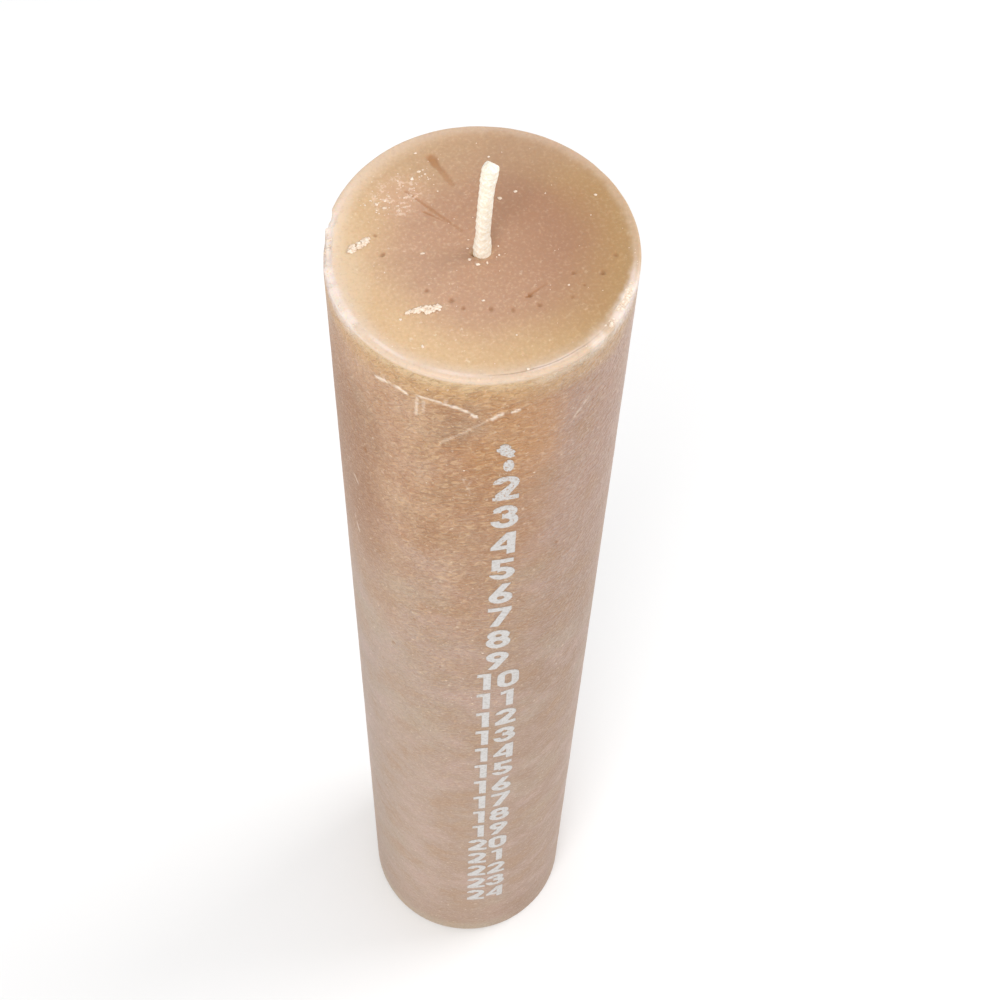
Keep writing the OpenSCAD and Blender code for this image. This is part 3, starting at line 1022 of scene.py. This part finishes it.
def handled(f, w, colour, grain):
    """Fine crystals, pale specks and the marks of handling, with painted shade in the pits and
    scored marks.
    """
    colour = f.mix(f.step(0.50, 0.72, grain) * 0.14, colour, DARK_GRAIN)
    # The pale grain and the specks show more on the lit side of the top: partly painted light
    pale = f.step(0.50, 0.30, grain) * (0.2 + w.top * (w.bright * 0.22 - 0.06))
    colour = f.mix(pale, colour, PALE_GRAIN)
    speck = f.step(0.67, 0.74, f.noise(w.at, 1.0, 2.0, 0.55))
    colour = f.mix(speck * (0.35 + w.top * (w.bright * 0.2 - 0.25)), colour, SPECK)
    # Painted shade darkens the pits and the scored marks
    colour = f.mix(f.painted("pit") * 0.55, colour, PIT_SHADE)
    colour = f.mix(f.painted("score") * 0.75, colour, SCORE_SHADE)
    scuffed = f.rise(7.0, 1.5, f.reach(w.x + 12.2 * MM, w.y - 13.8 * MM)) * w.top
    colour = f.mix(scuffed * 0.35, colour, SCUFF)
    frost = f.step(0.52, 0.62, f.noise(w.at, 1.0, 3.0, 0.7))
    colour = f.mix(scuffed * frost * 0.6, colour, FROST)
    colour = f.mix(f.painted("chip") * 0.7, colour, CHIP)
    # The white along the cracks is partly whitened wax and partly painted glint
    return f.mix(f.painted("crack") * 0.85, colour, CRACK_WHITE_AND_GLINT)


def cast_wax():
    material, f = new_finish("cast_wax")
    w = wax_places(f)
    ripples, strong = wall_skin(f, w)
    wall = rippled(f, w, wall_colour(f, w), ripples, strong)
    grain = f.noise(w.at, 0.6, 3.0, 0.6)
    colour = f.mix(w.top, wall, rim_colour(f, w, top_colour(f, w)))
    colour = handled(f, w, colour, grain)
    on_wall = ripples * strong * (0.72 * MM + w.side * (0.25 * MM))
    skin = f.blend(w.top, on_wall, grain * (0.05 * MM))
    relief = skin + f.noise(w.at, 2.8, 2.0) * (0.22 * MM)
    close_finish(f, Base_Color=colour, Roughness=0.34 + grain * 0.15, Normal=f.bump(relief, 1.0),
                 Subsurface_Weight=0.3, Subsurface_Radius=(1.0, 0.55, 0.3),
                 Subsurface_Scale=2 * MM, IOR=1.44)
    return material


def pale_wax():
    material, f = new_finish("pale_wax")
    grain = f.noise(f.places(), 0.4, 2.0)
    colour = f.mix(f.step(0.3, 0.7, grain), *CRUMB)
    # The faint glow stands in for light that scatters in loose wax.
    close_finish(f, Base_Color=colour, Roughness=0.4 + grain * 0.2,
                 Normal=f.bump(grain * (0.06 * MM), 0.6),
                 Emission_Color=colour, Emission_Strength=0.1)
    return material


def waxed_cotton():
    material, f = new_finish("waxed_cotton")
    fuzz = f.noise(f.places(), 0.5, 3.0, 0.6)
    close_finish(f, Base_Color=f.mix(f.step(0.35, 0.7, fuzz), *COTTON),
                 Roughness=0.6 + fuzz * 0.1, Normal=f.bump(fuzz * (0.08 * MM), 0.6),
                 Subsurface_Weight=0.2, Subsurface_Radius=(0.7, 0.6, 0.5),
                 Subsurface_Scale=0.6 * MM)
    return material


def white_print():
    material, f = new_finish("white_print")
    at = f.places()
    thin = f.noise(at, 0.6, 3.0, 0.6)
    colour = f.mix(f.step(0.4, 0.75, thin), *PRINT)
    worn = 0.66 - f.rise(235, 265, f.along(at, 2)) * 0.10
    holes = f.step(0.0, 0.05, f.noise(at, 0.5, 2.0) - worn)
    close_finish(f, Base_Color=f.mix(holes * 0.8, colour, WAX_THROUGH_PRINT),
                 Roughness=0.5 + thin * 0.1, Normal=f.bump(thin * (0.05 * MM), 0.6))
    return material


def tinplate():
    material, f = new_finish("tinplate")
    spangle = f.node("ShaderNodeTexVoronoi", None, {"Vector": f.places(), "Scale": 1 / (2.5 * MM)})
    close_finish(f, Base_Color=f.mix(f.step(0.1, 0.8, spangle), *TIN),
                 Roughness=0.3 + spangle * 0.15, Metallic=1.0)
    return material


def floor_white():
    material, f = new_finish("floor_white")
    close_finish(f, Base_Color=FLOOR, Roughness=0.8)
    return material


# ---- Camera, light and floor ----

LENS, SENSOR = 68.34, 36.0
TURN, TILT, ROLL = math.radians(-12.9), math.radians(60.15), math.radians(2.7)
TARGET, DISTANCE = Vector((4.97, -1.14, 213.3)) * MM, 401.25 * MM
FLOOR_SIZE, FLOOR_DROP = 4, 0.2 * MM


def camera():
    data = bpy.data.cameras.new("camera")
    data.lens, data.sensor_width = LENS, SENSOR
    view = bpy.data.objects.new("camera", data)
    bpy.context.scene.collection.objects.link(view)
    level = math.cos(TILT)
    back = Vector((math.sin(TURN) * level, -math.cos(TURN) * level, math.sin(TILT)))
    view.matrix_world = (Matrix.Translation(TARGET + back * DISTANCE)
                         @ Matrix.Rotation(TURN, 4, "Z")
                         @ Matrix.Rotation(math.pi / 2 - TILT, 4, "X")
                         @ Matrix.Rotation(ROLL, 4, "Z"))
    bpy.context.scene.camera = view


def softbox(name, place, aim, size, power):
    """A square lamp that faces a point: places and size in metres, power in watts."""
    data = bpy.data.lights.new(name, "AREA")
    data.shape, data.size, data.energy = "SQUARE", size, power
    lamp = bpy.data.objects.new(name, data)
    lamp.location = place
    lamp.rotation_euler = (Vector(aim) - Vector(place)).to_track_quat("-Z", "Y").to_euler()
    bpy.context.scene.collection.objects.link(lamp)


def studio():
    """Plain soft light all round, two soft lamps and a pale floor."""
    world = bpy.data.worlds.new("studio")
    world.use_nodes = True
    sky = world.node_tree.nodes["Background"].inputs
    sky["Color"].default_value = (1, 1, 1, 1)
    sky["Strength"].default_value = 0.75
    bpy.context.scene.world = world
    bpy.context.scene.view_settings.view_transform = "Standard"
    softbox("key", (-0.5, -0.9, 1.1), (0, 0, 0.2), 0.7, 9)
    softbox("side", (0.9, 0.2, 0.8), (0, 0, 0.22), 0.6, 5)
    bpy.ops.mesh.primitive_plane_add(size=FLOOR_SIZE, location=(0, 0, -FLOOR_DROP))
    floor = call("floor")
    floor.data.materials.append(floor_white())


camera()
studio()

pillar = wax_pillar()
pillar.data.materials.append(cast_wax())
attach(pillar, "root")
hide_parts("wax_pillar")

braid = wick()
braid.data.materials.append(waxed_cotton())
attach(braid, "root")
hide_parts("wick")

crumbs = wax_crumbs(pillar)
crumbs.data.materials.append(pale_wax())
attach(crumbs, "root")

ink = white_print()
for node in NUMBERS:
    film = printed_number(node)
    film.data.materials.clear()
    film.data.materials.append(ink)
    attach(film, "root")
    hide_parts(node)

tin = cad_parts["wick_sustainer"]
tin.data.materials.clear()
tin.data.materials.append(tinplate())
